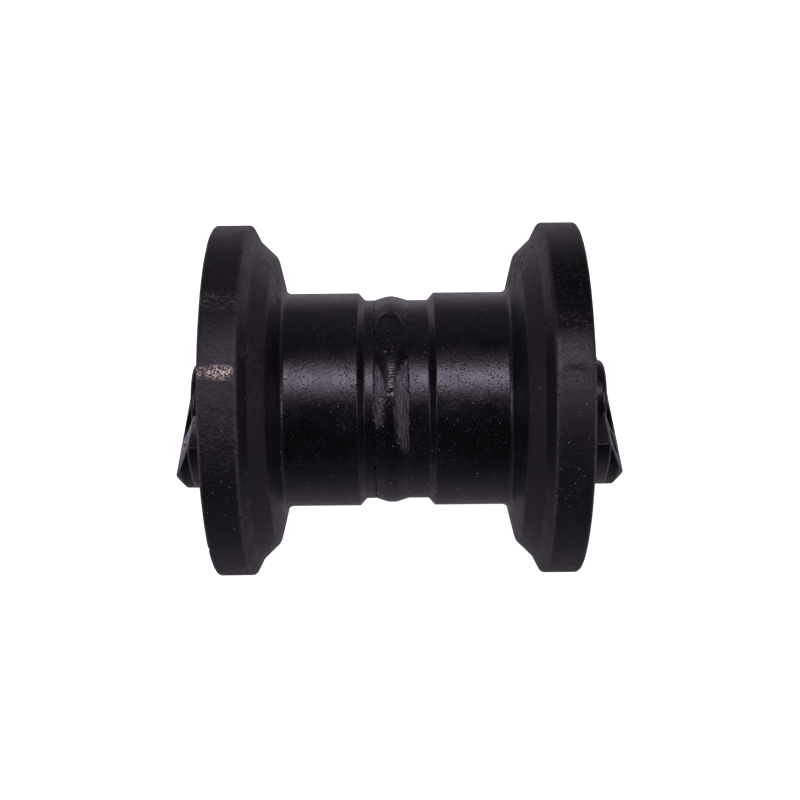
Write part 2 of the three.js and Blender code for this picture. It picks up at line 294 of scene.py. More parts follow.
def shell_section(side):
    """The section of one half of the shell, with the bore simplified to its true steps."""
    joint = side * WELD_X + WELD_GAP / 2
    under_bead = side * WELD_X + WELD_HALF - WELD_OVERLAP
    outer = [
        (joint, WELD_ROOT_R, 0),
        (under_bead, NECK_R, 0),
        (NECK_X, NECK_R, 1.3),
        (TREAD_INNER_X, TREAD_R, 0.8),
        (TREAD_OUTER_X, TREAD_R, 3.0),
        (SHOULDER_X, SHOULDER_R, 2.0),
        (GUIDE_X, GUIDE_R, 2.5),
        (RIM_X, FLANGE_R, 1.5),
        (SHELL_HALF, FLANGE_R, 1.3),
        (SHELL_HALF, MOUTH_R, 0.8),
    ]
    inner = [
        (MOUTH_X, MOUTH_R, 0.3),
        (MOUTH_X, SEAL_SEAT_R, 0),
        (SEAL_FLOOR_X, SEAL_SEAT_R, 0.8),
        (SEAL_FLOOR_X, THRUST_RECESS_R, 0),
        (SEAT_END_X, THRUST_RECESS_R, 0),
        (SEAT_END_X, BUSHING_SEAT_R, 0),
        (SEAT_START_X, BUSHING_SEAT_R, 0),
        (SEAT_START_X, RESERVOIR_R, 0.5),
        (joint, RESERVOIR_R, 0),
    ]
    outline = section(outer + inner, SHELL_STEP)
    return outline if side > 0 else mirrored(outline)


def shell_dents(side):
    """Dents of a half's forged skin: X, facing, radius and depth. Most are in clusters on its slopes."""
    random = np.random.default_rng(7 + side)
    anywhere = (-180, 180)
    dents = []
    for cluster in DENT_CLUSTERS:
        for _ in range(DENTS_IN_CLUSTER):
            place, facing = side * random.uniform(48, 60), cluster + random.normal(0, 5)
            dents.append((place, facing, random.uniform(0.6, 1.4), random.uniform(0.12, 0.4)))
    for _ in range(LOOSE_DENTS):
        place, facing = side * random.uniform(15, 60), random.uniform(*anywhere)
        dents.append((place, facing, random.uniform(0.6, 1.2), random.uniform(0.05, 0.2)))
    for _ in range(RIM_DENTS):
        place, facing = side * random.choice(RIM_EDGES_X), random.uniform(*anywhere)
        dents.append((place, facing, random.uniform(0.9, 2.2), random.uniform(0.2, 0.5)))
    dents.append(CHIPPED_CORNER)
    for place in RIGHT_MARK_DENTS_X:
        facing = RIGHT_MARK_FACING + random.normal(0, 0.3)
        dents.append((place, facing, 1.5, random.uniform(0.2, 0.4)))
    return dents


def shell_shape(side):
    """How a half's skin departs from a true turned surface, in millimetres along its normal."""
    dents = shell_dents(side)

    def shape(points, facing):
        x = points[..., 0]
        radius = np.hypot(points[..., 1], points[..., 2])
        forged = smooth_step(TREAD_R, TREAD_R + 6, radius)
        moved = forged * (0.07 * smooth_noise(points, 13, 1) + 0.03 * smooth_noise(points, 4.5, 2))
        moved += 0.012 * smooth_noise(points, 8, 3)
        on_end_face = np.abs(x) > SHELL_HALF - 0.4
        inward = np.where(on_end_face, FLANGE_R - radius, 0)
        for place, angle, size, depth in dents:
            turn = (facing - angle + 180) % 360 - 180
            apart = np.sqrt((x - place) ** 2 + (np.radians(turn) * radius) ** 2 + inward ** 2)
            moved -= depth * bump_shape(apart, size)
        moved = np.where(radius > MOUTH_R + 2, moved, 0)
        on_rim = radius > FLANGE_R - 0.6
        return np.where(on_rim, np.minimum(moved, FLANGE_R - radius), moved)

    return shape


def left_marks(x, facing, rim):
    """Where the left half is scraped bare, scuffed and stained: the scrape and most scuffs are on its rim."""
    scrape = rim * bump_shape((facing - 8.2) / 3.3) * smooth_step(-61.0, -62.5, x)
    scrape *= 0.45 + 0.55 * bump_shape((x + 67) / 6)
    scuff = rim * np.maximum(bump_shape((facing - 31) / 4.5), 0.30 * bump_shape(facing / 30))
    for place, angle, width, height in ((-57.5, 15, 3.5, 5), (-58.5, -35, 1.6, 2.2)):
        spot = bump_shape(np.hypot((x - place) / width, (facing - angle) / height))
        scuff = np.maximum(scuff, 0.8 * spot)
    return {"scrape": scrape, "scuff": scuff, "stain": 0 * rim}


def right_marks(x, facing, rim):
    """Where the right half is scuffed and stained: a short dark mark on its rim, and a dull band above it."""
    scuff = rim * bump_shape((facing - 6.9) / 2.0) * smooth_step(61, 64, x)
    mark = bump_shape((facing - RIGHT_MARK_FACING) / 1.9) * bump_shape((x - 68.5) / 7.5)
    band = 0.9 * smooth_step(16, 22, facing) * smooth_step(56, 42, facing)
    return {"scrape": 0 * rim, "scuff": scuff, "stain": rim * np.maximum(mark, band)}


def flaked_slope(side, x, facing):
    """Where the paint has flaked in small spots, high on a half's slopes."""
    high = smooth_step(50, 62, facing) * smooth_step(100, 85, facing)
    slope = smooth_step(46, 49, np.abs(x)) * smooth_step(61, 59, np.abs(x))
    return slope * high * (1.0 if side > 0 else 0.6)


def painted_rim_highlight(x, radius):
    """Where a highlight is painted along the two corners of a rim, as thin light lines."""
    edge = 0 * x
    for corner_x, strength in ((RIM_X, 0.5), (SHELL_HALF, 1.0)):
        apart = np.hypot(np.abs(x) - corner_x, radius - FLANGE_R)
        edge = np.maximum(edge, strength * bump_shape(apart, 1.2))
    return edge


def make_shell(side):
    name = "left" if side < 0 else "right"
    made = turned_object(
        f"shell_{name}_forging", shell_section(side), SHELL_SEGMENTS, shell_shape(side), SHELL_X
    )
    points = np.array([v.co for v in made.data.vertices]) / MM
    facing = facing_of(points)
    radius = np.hypot(points[:, 1], points[:, 2])
    x = points[:, 0] - SHELL_X
    rim = smooth_step(FLANGE_R - 1.5, FLANGE_R - 0.5, radius)
    marks = left_marks(x, facing, rim) if side < 0 else right_marks(x, facing, rim)
    for mark, strength in marks.items():
        store(made, mark, strength)
    store(made, "flaked", flaked_slope(side, x, facing))
    # A highlight painted along the rim corners, kept on the mesh for the paint.
    store(made, "edge", painted_rim_highlight(x, radius))
    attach(made, "roller")
    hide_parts(f"shell_{name}")
    return made


# ---------------------------------------------------------------- weld

WELD_SEGMENTS = 1100
WELD_STEPS = 68
RIPPLE_PITCH = 1.3
CRATER_X, CRATER_FACING = -0.8, 36.5
CRATER_HALF_WIDTH, CRATER_HALF_FACING = 5.6, 16.5
CRATER_DEPTH = 0.7


def across_bead(x):
    """1 at the crown of the bead, falling to 0 at its toes."""
    return np.cos(np.clip(x / WELD_HALF, -1, 1) * math.pi / 2)


def streaks(x, path, slant, fineness, seed):
    """Noise drawn out along the bead, on a slant."""
    place = np.stack([(x + slant * path) / fineness, path / (12 * fineness), 0 * x], axis=-1)
    return smooth_noise(place, 1.0, seed)


def ripple_relief(x, facing, points):
    """The short run of ripples at the end of the bead, and fainter ones all round it."""
    path = np.radians(facing) * CROWN_R
    wander = 0.5 * smooth_noise(points, 2.2, 11)
    crescent = np.sin(2 * math.pi * (path - 0.10 * x ** 2 + wander) / RIPPLE_PITCH)
    run = smooth_step(5, 9, facing) * smooth_step(19, 15, facing) * bump_shape(x - 0.4, 3.4)
    curls = smooth_step(-8, -2, facing) * smooth_step(8, 3, facing) * bump_shape(x + 0.6, 3.4)
    loose = smooth_noise(points, 1.1, 19) + 0.6 * smooth_noise(points, 0.6, 20)
    return 0.08 * run * (crescent + 1.4 * loose) + 0.16 * curls * loose + 0.02 * across_bead(x) * crescent


def crater_relief(x, facing, points):
    """The pool where the bead was stopped over its own start, with a raised lip round it."""
    lip = 0.06 * smooth_noise(points, 3.5, 21)
    across = np.abs(x - CRATER_X) / CRATER_HALF_WIDTH
    along = np.abs(facing - CRATER_FACING) / CRATER_HALF_FACING
    out = (across ** 2.6 + along ** 2.6) ** (1 / 2.6) + lip
    inside = smooth_step(1.0, 0.7, out)
    upper = smooth_step(34, 48, facing)
    ridge = np.exp(-((out - 0.98) / 0.08) ** 2) * (0.05 + 0.15 * upper)
    echo = np.exp(-((out - 0.74) / 0.06) ** 2) * 0.12 * upper
    crescent = np.exp(-((out - 0.84) / 0.07) ** 2) * smooth_step(30, 24, facing) * 0.45
    curled = smooth_noise(points, 1.0, 14) + 0.9 * smooth_noise(points, 0.5, 15)
    rough = inside * (0.02 + 0.12 * smooth_step(45, 38, facing)) * curled
    return ridge + echo + crescent - CRATER_DEPTH * inside + rough


def ground_left(x, facing, points):
    """Two feathered fans of grinding beside the left toe, one above the other."""
    path = np.radians(facing) * CROWN_R
    ragged = 1.3 * streaks(x, path, 0.30, 0.55, 16) + 0.5 * smooth_noise(points, 2.5, 22)
    upper = np.interp(facing, (0, 4, 17, 20), (-2.2, -2.4, -5.4, -6.4))
    lower = np.interp(facing, (-18, -12, -2, 2), (-6.2, -3.4, -4.6, -7.0))
    edge = np.where(facing > 1, upper, lower)
    fan = smooth_step(edge + 0.7, edge - 0.6, x + ragged) * smooth_step(-7.4, -6.7, x)
    return fan * smooth_step(-19, -14, facing) * smooth_step(21, 17, facing)


def ground_right(x, facing, points):
    """A long smooth leaf of grinding beside the right toe."""
    path = np.radians(facing) * CROWN_R
    ragged = 0.5 * streaks(x, path, 0.05, 0.6, 23) + 0.6 * smooth_noise(points, 1.6, 24)
    edge = np.interp(facing, (-32, -22, -12, 0, 10, 16, 22), (3.6, 2.0, 1.7, 1.2, 1.9, 3.8, 6.0))
    leaf = smooth_step(edge - 0.6, edge + 0.8, x + ragged) * smooth_step(7.5, 6.7, x + 0.4 * ragged)
    return leaf * smooth_step(-33, -25, facing) * smooth_step(23, 20, facing)


def toe_relief(x, facing, points):
    """An undercut and a string of pits along both toes, and a few pits along the crown underneath."""
    pitted = smooth_step(0.05, 0.5, smooth_noise(points, 1.3, 18))
    toes = bump_shape(x - WELD_HALF + 0.6, 0.8) + bump_shape(x + WELD_HALF - 0.6, 0.8)
    crown = bump_shape(x - 1.6, 0.6) * smooth_step(-38, -42, facing) * smooth_step(-75, -68, facing)
    return toes * (0.08 + 0.5 * pitted) + 0.3 * crown * pitted


def weld_relief(x, facing, points):
    """Height of the bead over the neck, and where it is ground, from 0 to 1."""
    path = np.radians(facing) * CROWN_R
    height = (CROWN_R - NECK_R) * across_bead(x) ** 1.5
    height += 0.05 * smooth_noise(points, 2.6, 12) + 0.10 * smooth_noise(points, 7, 13) * across_bead(x)
    height += ripple_relief(x, facing, points) + crater_relief(x, facing, points)
    left, right = ground_left(x, facing, points), ground_right(x, facing, points)
    facet_left = 0.70 + 0.08 * (x + 5) + 0.09 * streaks(x, path, 0.30, 0.40, 25)
    facet_right = 0.75 + 0.05 * (4.5 - x) + 0.04 * streaks(x, path, 0.05, 0.40, 26)
    height = height * (1 - left) + left * facet_left
    height = height * (1 - right) + right * facet_right
    return height - toe_relief(x, facing, points), np.maximum(left, right)


def make_weld():
    sink, tuck = 0.5, 0.35  # how far the bead's edges dip into the neck, and how wide that dip is
    x = np.linspace(-WELD_HALF - tuck, WELD_HALF + tuck, WELD_STEPS)
    surface = np.stack([x, np.full_like(x, NECK_R)], axis=1)
    root = np.array([(WELD_HALF, NECK_R - 1.2), (0, WELD_ROOT_R + WELD_GAP), (-WELD_HALF, NECK_R - 1.2)])
    outline = np.concatenate([surface, root])
    points = turned_points(outline, WELD_SEGMENTS)
    top = points[:WELD_STEPS]
    height, ground = weld_relief(top[..., 0], facing_of(top), top)
    height = np.where(np.abs(top[..., 0]) > WELD_HALF, -sink, height)
    height = np.minimum(height, CROWN_R - NECK_R)
    radial = np.stack([0 * height, top[..., 1] / NECK_R, top[..., 2] / NECK_R], axis=2)
    points[:WELD_STEPS] = top + radial * height[..., None]
    points[..., 0] += WELD_X + SHELL_X
    made = make_object("weld", points.reshape(-1, 3), turned_faces(len(outline), WELD_SEGMENTS))
    store(made, "ground", np.concatenate([ground.ravel(), np.zeros(len(root) * WELD_SEGMENTS)]))
    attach(made, "roller")
    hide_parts("weld_bead")
    return made


# ---------------------------------------------------------------- shaft and end collars

COLLAR_SEGMENTS, SHAFT_SEGMENTS = 144, 96
BORE_CLEARANCE = 0.15
OUTLET_R = 2.5
CORE_R = 0.05  # a section that is turned can't touch the axis


def cylinder_cutter(start, end, radius, sides=48):
    """A plain rod to cut with, between two points in millimetres."""
    start, end = Vector(start), Vector(end)
    angles = np.arange(sides) * 2 * math.pi / sides
    ring = np.stack([np.cos(angles) * radius, np.sin(angles) * radius, 0 * angles], axis=1)
    length = (end - start).length
    local = np.concatenate([ring, ring + (0, 0, length)])
    turn = np.array(Vector((0, 0, 1)).rotation_difference(end - start).to_matrix())
    points = local @ turn.T + np.array(start)
    walls = [(k, (k + 1) % sides, sides + (k + 1) % sides, sides + k) for k in range(sides)]
    return make_cutter("rod", points, [*walls, range(sides)[::-1], range(sides, 2 * sides)])


def make_cutter(name, points, faces):
    mesh = bpy.data.meshes.new(name)
    mesh.from_pydata((np.asarray(points) * MM).tolist(), [], [tuple(face) for face in faces])
    made = bpy.data.objects.new(name, mesh)
    bpy.context.collection.objects.link(made)
    return made


def prism_cutter(outline, half_width):
    """An (x, z) outline drawn along Y to both sides."""
    count = len(outline)
    points = [(x, y, z) for y in (-half_width, half_width) for x, z in outline]
    walls = [(k, (k + 1) % count, count + (k + 1) % count, count + k) for k in range(count)]
    return make_cutter("prism", points, [*walls, range(count)[::-1], range(count, 2 * count)])


def face_out(mesh):
    """Turns a closed mesh's faces outwards."""
    work = bmesh.new()
    work.from_mesh(mesh)
    bmesh.ops.recalc_face_normals(work, faces=work.faces)
    work.to_mesh(mesh)
    work.free()


def cut_away(body, cutters):
    """Cuts each cutter from the body and deletes it."""
    face_out(body.data)
    for cutter in cutters:
        face_out(cutter.data)
        step = body.modifiers.new("cut", "BOOLEAN")
        step.operation = "DIFFERENCE"
        step.solver = "MANIFOLD"
        step.object = cutter
    settle(body)
    for cutter in cutters:
        bpy.data.objects.remove(cutter)


def settle(made):
    """Applies an object's modifiers to its mesh."""
    bpy.context.view_layer.update()
    seen = made.evaluated_get(bpy.context.evaluated_depsgraph_get())
    mesh = bpy.data.meshes.new_from_object(seen)
    made.modifiers.clear()
    made.data = mesh


def cast_skin(made, voxel, rounds):
    """Remeshes a cut body finely and softens its edges, as paint over a casting does."""
    step = made.modifiers.new("remesh", "REMESH")
    step.mode = "VOXEL"
    step.voxel_size = voxel * MM
    soften = made.modifiers.new("soften", "SMOOTH")
    soften.factor = 0.5
    soften.iterations = rounds
    settle(made)
    made.data.polygons.foreach_set("use_smooth", [True] * len(made.data.polygons))


def pin_hole(side):
    return cylinder_cutter(
        (side * PIN_X, PIN_Y, PIN_BOTTOM_Z - 0.3), (side * PIN_X, PIN_Y, COLLAR_R), PIN_HOLE_R
    )


def bevel_normal(side):
    """Square to the bevel, outwards."""
    run, drop = COLLAR_END_X - FLAT_END_X, FLAT_Z - BEVEL_LOW_Z
    return Vector((side * drop, 0, run)).normalized()


def tapped_hole(side, y):
    mouth = Vector((side * (FLAT_END_X + COLLAR_END_X) / 2, y, (FLAT_Z + BEVEL_LOW_Z) / 2))
    normal = bevel_normal(side)
    return cylinder_cutter(mouth - normal * TAPPED_DEPTH, mouth + normal * TAPPED_DEPTH, TAPPED_R)


def lug_cutter(side):
    """What the milled flat and the bevel take off a round collar."""
    run, drop = COLLAR_END_X - FLAT_END_X, FLAT_Z - BEVEL_LOW_Z
    outline = [
        (COLLAR_INNER_X, FLAT_Z),
        (FLAT_END_X, FLAT_Z),
        (FLAT_END_X + 2 * run, FLAT_Z - 2 * drop),
        (FLAT_END_X + 2 * run, 2 * COLLAR_R),
        (COLLAR_INNER_X, 2 * COLLAR_R),
    ]
    return prism_cutter([(side * x, z) for x, z in outline], 2 * COLLAR_R)


def make_collar(side):
    name = "left" if side < 0 else "right"
    bore_r = SHAFT_R + BORE_CLEARANCE
    outline = section([
        (NOSE_X, bore_r, 0),
        (NOSE_X, NOSE_R, 0.6),
        (CUP_FLOOR_X, NOSE_R, 0.6),
        (CUP_FLOOR_X, SEAL_SEAT_R, 0.6),
        (HUB_START_X, SEAL_SEAT_R, 0),
        (HUB_START_X, HUB_R, 0),
        (COLLAR_INNER_X, HUB_R, 0),
        (COLLAR_INNER_X, COLLAR_R, 0.8),
        (COLLAR_END_X - COLLAR_CHAMFER, COLLAR_R, 0.8),
        (COLLAR_END_X, COLLAR_R - COLLAR_CHAMFER, 0.8),
        (COLLAR_END_X, bore_r, 0),
    ])
    outline = clockwise(outline if side > 0 else mirrored(outline))
    points = turned_points(outline, COLLAR_SEGMENTS).reshape(-1, 3)
    faces = turned_faces(len(outline), COLLAR_SEGMENTS)
    made = make_object(f"end_collar_{name}_casting", points, faces)
    cut_away(made, [
        lug_cutter(side), tapped_hole(side, TAPPED_Y), tapped_hole(side, -TAPPED_Y), pin_hole(side)
    ])
    cast_skin(made, 0.55, 1)
    roughen(made, 0.08, 5, 21)
    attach(made, "shaft_assembly")
    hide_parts(f"end_collar_{name}")
    return made


def roughen(made, depth, size, seed):
    """Moves each point inwards along its normal by a little smooth noise."""
    count = len(made.data.vertices)
    points, normals = np.empty(count * 3), np.empty(count * 3)
    made.data.vertices.foreach_get("co", points)
    made.data.vertices.foreach_get("normal", normals)
    points, normals = points.reshape(-1, 3) / MM, normals.reshape(-1, 3)
    moved = -depth * (0.5 + 0.5 * smooth_noise(points, size, seed))
    made.data.vertices.foreach_set("co", ((points + normals * moved[:, None]) * MM).ravel())
    made.data.update()


def make_shaft():
    half = [
        (ORING_X - ORING_GROOVE_HALF, SHAFT_R, 0.2),
        (ORING_X - ORING_GROOVE_HALF, ORING_GROOVE_R, 0.2),
        (ORING_X + ORING_GROOVE_HALF, ORING_GROOVE_R, 0.2),
        (ORING_X + ORING_GROOVE_HALF, SHAFT_R, 0.2),
        (SHAFT_HALF, SHAFT_R, 2.0),
    ]
    core = [
        (SHAFT_HALF, CORE_R, 0),
        (OIL_BORE_END_X, CORE_R, 0),
        (OIL_BORE_END_X - OIL_BORE_R, OIL_BORE_R, 0),
        (PLUG_SEAT_DEPTH - SHAFT_HALF, OIL_BORE_R, 0),
        (PLUG_SEAT_DEPTH - SHAFT_HALF, PLUG_SEAT_R, 0),
        (-SHAFT_HALF, PLUG_SEAT_R, 0.4),
    ]
    outline = clockwise(section([(-x, r, f) for x, r, f in half][::-1] + half + core))
    points = turned_points(outline, SHAFT_SEGMENTS).reshape(-1, 3)
    made = make_object("shaft_core", points, turned_faces(len(outline), SHAFT_SEGMENTS))
    outlet = cylinder_cutter((0, 0, 0), (0, 0, 2 * SHAFT_R), OUTLET_R)
    cut_away(made, [outlet, pin_hole(-1), pin_hole(1)])
    made.data.polygons.foreach_set("use_smooth", [True] * len(made.data.polygons))
    made.data.set_sharp_from_angle(angle=SHARP_ANGLE)
    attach(made, "shaft_assembly")
    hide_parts("shaft")
    return made


# ---------------------------------------------------------------- materials


class Nodes:
    """A node tree, built a node at a time."""

    def __init__(self, tree):
        self.tree = tree

    def add(self, kind, settings=(), **inputs):
        """A node with its settings and inputs. An input is a number, a colour or another node's output."""
        made = self.tree.nodes.new(kind)
        for key, value in dict(settings).items():
            setattr(made, key, value)
        for key, value in inputs.items():
            socket = made.inputs[int(key[1:])] if key[1:].isdigit() else made.inputs[key.replace("_", " ")]
            self.feed(socket, value)
        return made

    def feed(self, socket, value):
        if isinstance(value, bpy.types.NodeSocket):
            self.tree.links.new(value, socket)
        else:
            socket.default_value = value

    def ramp(self, value, low, high, out_low=0.0, out_high=1.0):
        """A smooth step from out_low at low to out_high at high."""
        made = self.add("ShaderNodeMapRange", {"interpolation_type": "SMOOTHSTEP", "clamp": True})
        flip = low > high
        numbers = (high, low, out_high, out_low) if flip else (low, high, out_low, out_high)
        self.feed(made.inputs["Value"], value)
        for key, number in zip(("From Min", "From Max", "To Min", "To Max"), numbers):
            made.inputs[key].default_value = number
        return made.outputs["Result"]

    def math(self, operation, a, b=0.0):
        return self.add("ShaderNodeMath", {"operation": operation}, _0=a, _1=b).outputs[0]

    def times(self, a, b):
        return self.math("MULTIPLY", a, b)

    def plus(self, total, value, factor=1.0):
        """The total, and the value times a factor."""
        return self.math("ADD", total, self.times(value, factor))

    def split(self, vector):
        """A vector's X, Y and Z."""
        return self.add("ShaderNodeSeparateXYZ", Vector=vector).outputs

    def length(self, a, b):
        """How long the arrow (a, b) is."""
        return self.math("SQRT", self.math("ADD", self.times(a, a), self.times(b, b)))

    def mix(self, factor, a, b):
        """A colour from a to b."""
        made = self.add("ShaderNodeMix", {"data_type": "RGBA"})
        self.feed(made.inputs[0], factor)
        self.feed(made.inputs[6], a if isinstance(a, bpy.types.NodeSocket) else (*a, 1))
        self.feed(made.inputs[7], b if isinstance(b, bpy.types.NodeSocket) else (*b, 1))
        return made.outputs[2]


class Shader(Nodes):
    """A material's node tree. Its coordinates are object coordinates in millimetres."""

    def __init__(self, name):
        self.material = bpy.data.materials.new(name)
        self.material.use_nodes = True
        super().__init__(self.material.node_tree)
        self.surface = self.tree.nodes["Principled BSDF"]
        self.coords = self.scaled(1.0)

    def scaled(self, *scale):
        """The coordinates, stretched by scale."""
        where = self.add("ShaderNodeTexCoord").outputs["Object"]
        factors = [factor / MM for factor in (scale * 3)[:3]]
        return self.add("ShaderNodeMapping", Vector=where, Scale=factors).outputs["Vector"]

    def noise(self, size, detail=3.0, rough=0.55, vector=None):
        made = self.add(
            "ShaderNodeTexNoise", Vector=vector or self.coords, Scale=1 / size, Detail=detail, Roughness=rough
        )
        return made.outputs["Fac"]

    def dots(self, spacing, radius, vector=None):
        """1 inside round dots of about that radius, one in each cell of that spacing."""
        cells = self.add("ShaderNodeTexVoronoi", Vector=vector or self.coords, Scale=1 / spacing)
        return self.ramp(cells.outputs["Distance"], radius / spacing, radius / spacing * 0.5)

    def stored(self, name):
        """A number that store() kept on the mesh."""
        return self.add("ShaderNodeAttribute", {"attribute_name": name}).outputs["Fac"]

    def bump(self, height):
        """Normals for a height in millimetres."""
        return self.add("ShaderNodeBump", Height=height, Distance=MM, Strength=1.0).outputs["Normal"]

    def set(self, **inputs):
        for key, value in inputs.items():
            socket = self.surface.inputs[key.replace("_", " ")]
            if isinstance(value, tuple) and len(value) == 3:
                value = (*value, 1)
            self.feed(socket, value)


PAINT_DARK = (0.0014, 0.0012, 0.0016)
PAINT_LIGHT = (0.0032, 0.0027, 0.0037)
PAINT_TINT = (0.93, 0.84, 0.98, 1)
DUST = (0.22, 0.20, 0.22)
COPPERY, SILVERY = (0.80, 0.52, 0.38), (0.85, 0.78, 0.78)
SCUFFED = (0.13, 0.12, 0.135)
# Painted highlight: the light lines along the rim corners.
RIM_HIGHLIGHT_PAINT = (0.085, 0.078, 0.092)
# Painted sheen: the lighter colour of the weld's grinding streaks.
GROUND_STREAK_SHEEN = (0.052, 0.046, 0.057)
COLLAR_BLACK = (0.0010, 0.0009, 0.0011)
# Painted highlight: the light line at the end of a collar's flat.
COLLAR_EDGE_HIGHLIGHT = (0.06, 0.055, 0.063)
RUBBED = (0.30, 0.27, 0.30)


def paint(name, lines=0.0, pits=1.0, peel=1.0, gloss=0.31):
    """Semi-gloss black paint: orange peel, pits of the steel under it, and specks of dust.

    Returns the shader with the paint's colour, roughness and height, for finish_paint to join up."""
    shader = Shader(name)
    colour = shader.mix(shader.noise(16, 4), PAINT_DARK, PAINT_LIGHT)

    clusters = shader.ramp(shader.noise(15, 3), 0.44, 0.60)
    pit = shader.times(shader.dots(1.5, 0.40), clusters)
    fine_clusters = shader.ramp(shader.noise(8, 3), 0.42, 0.56)
    fine_pit = shader.times(shader.dots(0.9, 0.24), fine_clusters)
    pit = shader.math("MAXIMUM", pit, fine_pit)

    dusty = shader.ramp(shader.noise(6, 3), 0.50, 0.62)
    dust = shader.times(shader.dots(2.2, 0.26, shader.scaled(1.0, 1.13, 0.91)), dusty)
    colour = shader.mix(dust, colour, DUST)

    height = shader.times(shader.noise(1.3, 2), 0.07 * peel)
    height = shader.plus(height, shader.noise(0.45, 2), 0.045 * peel)
    if lines:
        grooves = shader.noise(0.30, 3, 0.7, shader.scaled(1.0, 0.03, 0.03))
        height = shader.plus(height, grooves, lines)
    height = shader.plus(height, pit, -0.22 * pits)
    height = shader.plus(height, dust, 0.05)

    rough = shader.ramp(shader.noise(7, 4), 0.3, 0.7, gloss - 0.04, gloss + 0.05)
    rough = shader.plus(rough, pit, 0.25)
    rough = shader.plus(rough, dust, 0.3)
    shader.set(Metallic=0.0, Specular_Tint=PAINT_TINT)
    return shader, colour, rough, height


def finish_paint(shader, colour, rough, height, dull=None):
    """Joins the paint up. Where dull is near 1 it hardly reflects."""
    if dull is not None:
        shader.set(Specular_IOR_Level=shader.plus(0.5, dull, -0.42))
    shader.set(Base_Color=colour, Roughness=rough, Normal=shader.bump(height))
    return shader.material


def shell_paint(name, lines):
    """The shell's paint, with a flaked scrape and scuffs where the mesh says, and a highlight painted along
    the rim corners.
    """
    shader, colour, rough, height = paint(name, lines=lines)
    where = shader.split(shader.coords)
    radius = shader.length(where["Y"], where["Z"])
    rough = shader.plus(rough, shader.ramp(radius, TREAD_R + 1, TREAD_R + 6), 0.10)
    rough = shader.plus(rough, shader.ramp(radius, GUIDE_R, FLANGE_R), 0.07)
    streaks = shader.noise(1.3, 5, 0.75, shader.scaled(0.55, 1.0, 1.0))
    fine = shader.noise(0.8, 5, 0.8, shader.scaled(0.35, 1.0, 1.0))
    flakes = shader.ramp(shader.noise(0.42, 3, 0.7, shader.scaled(0.6, 1.0, 1.0)), 0.49, 0.55)
    spots = shader.ramp(shader.noise(1.5, 4, 0.75), 0.555, 0.60)

    bare = shader.times(shader.ramp(shader.stored("scrape"), 0.1, 0.7), flakes)
    scuffed = shader.times(shader.stored("scuff"), shader.ramp(fine, 0.50, 0.60))
    flaked = shader.times(shader.stored("flaked"), spots)
    stain = shader.times(shader.stored("stain"), shader.ramp(streaks, 0.36, 0.52))
    edge = shader.times(shader.stored("edge"), shader.ramp(streaks, 0.34, 0.60))

    metal = shader.mix(shader.ramp(shader.noise(1.0, 3), 0.4, 0.6), COPPERY, SILVERY)
    colour = shader.mix(bare, colour, metal)
    colour = shader.mix(shader.times(scuffed, 0.6), colour, SCUFFED)
    colour = shader.mix(flaked, colour, (0.0, 0.0, 0.0))
    # The light lines along the rim corners are a painted highlight.
    colour = shader.mix(shader.times(edge, 0.6), colour, RIM_HIGHLIGHT_PAINT)
    rough = shader.plus(rough, scuffed, 0.10)
    rough = shader.plus(rough, bare, 0.12)
    height = shader.plus(height, bare, -0.2)
    height = shader.plus(height, scuffed, 0.12)
    height = shader.plus(height, flaked, -0.25)
    return finish_paint(shader, colour, rough, height, shader.math("MAXIMUM", stain, flaked))


def weld_paint():
    """The same paint over the bead, rougher where it was ground, where its grinding streaks are painted
    lighter as a painted sheen.
    """
    shader, colour, rough, height = paint("weld_paint", pits=0.5, peel=0.8, gloss=0.28)
    ground = shader.stored("ground")
    streak = shader.noise(0.5, 4, 0.7, shader.scaled(1.0, 0.12, 0.12))
    sheen_on_ground_streaks = shader.times(ground, shader.ramp(streak, 0.38, 0.62))
    # The grinding streaks are real marks, and their lighter colour is a painted sheen.
    colour = shader.mix(sheen_on_ground_streaks, colour, GROUND_STREAK_SHEEN)
    rough = shader.plus(rough, ground, 0.02)
    height = shader.plus(height, sheen_on_ground_streaks, 0.09)
    return finish_paint(shader, colour, rough, height)


def collar_paint(name, bare_patch):
    """Black paint over cast steel, dull on the bevel, with a highlight painted as a light line where the flat
    meets it.

    The left collar also has a patch where the paint is rubbed through."""
    shader, colour, rough, height = paint(name, pits=0.8, peel=1.2)
    height = shader.plus(height, shader.noise(0.6, 5, 0.7), 0.05)
    along = shader.math("ABSOLUTE", shader.split(shader.coords)["X"])
    outer = shader.ramp(along, FLAT_END_X + 0.2, FLAT_END_X + 0.5)
    past_flat = shader.ramp(along, FLAT_END_X - 0.5, FLAT_END_X - 0.1)
    edge = shader.times(past_flat, shader.plus(1.0, outer, -1.0))
    colour = shader.mix(outer, colour, COLLAR_BLACK)
    # A painted highlight: the thin light line at the end of the flat.
    colour = shader.mix(shader.times(edge, 0.7), colour, COLLAR_EDGE_HIGHLIGHT)
    dull = shader.times(outer, 0.8)
    if bare_patch:
        colour, rough, dull = add_bare_patch(shader, colour, rough, dull)
    return finish_paint(shader, colour, rough, height, dull)


def add_bare_patch(shader, colour, rough, dull):
    """A rubbed oval on the left collar, over the end of its flat and the bevel below."""
    where = shader.split(shader.coords)
    outside = shader.ramp(where["X"], -81.5, -83.5)
    lower = shader.times(shader.math("ADD", where["Z"], 3.5), 0.085)
    beside = shader.times(shader.math("ADD", where["Y"], 15.5), 0.060)
    patch = shader.times(shader.ramp(shader.length(lower, beside), 1.25, 0.6), outside)
    patch = shader.times(patch, shader.ramp(shader.noise(1.6, 4, 0.7), 0.38, 0.56))
    colour = shader.mix(patch, colour, RUBBED)
    rough = shader.plus(rough, patch, 0.12)
    return colour, rough, shader.times(dull, shader.plus(1.0, patch, -1.0))


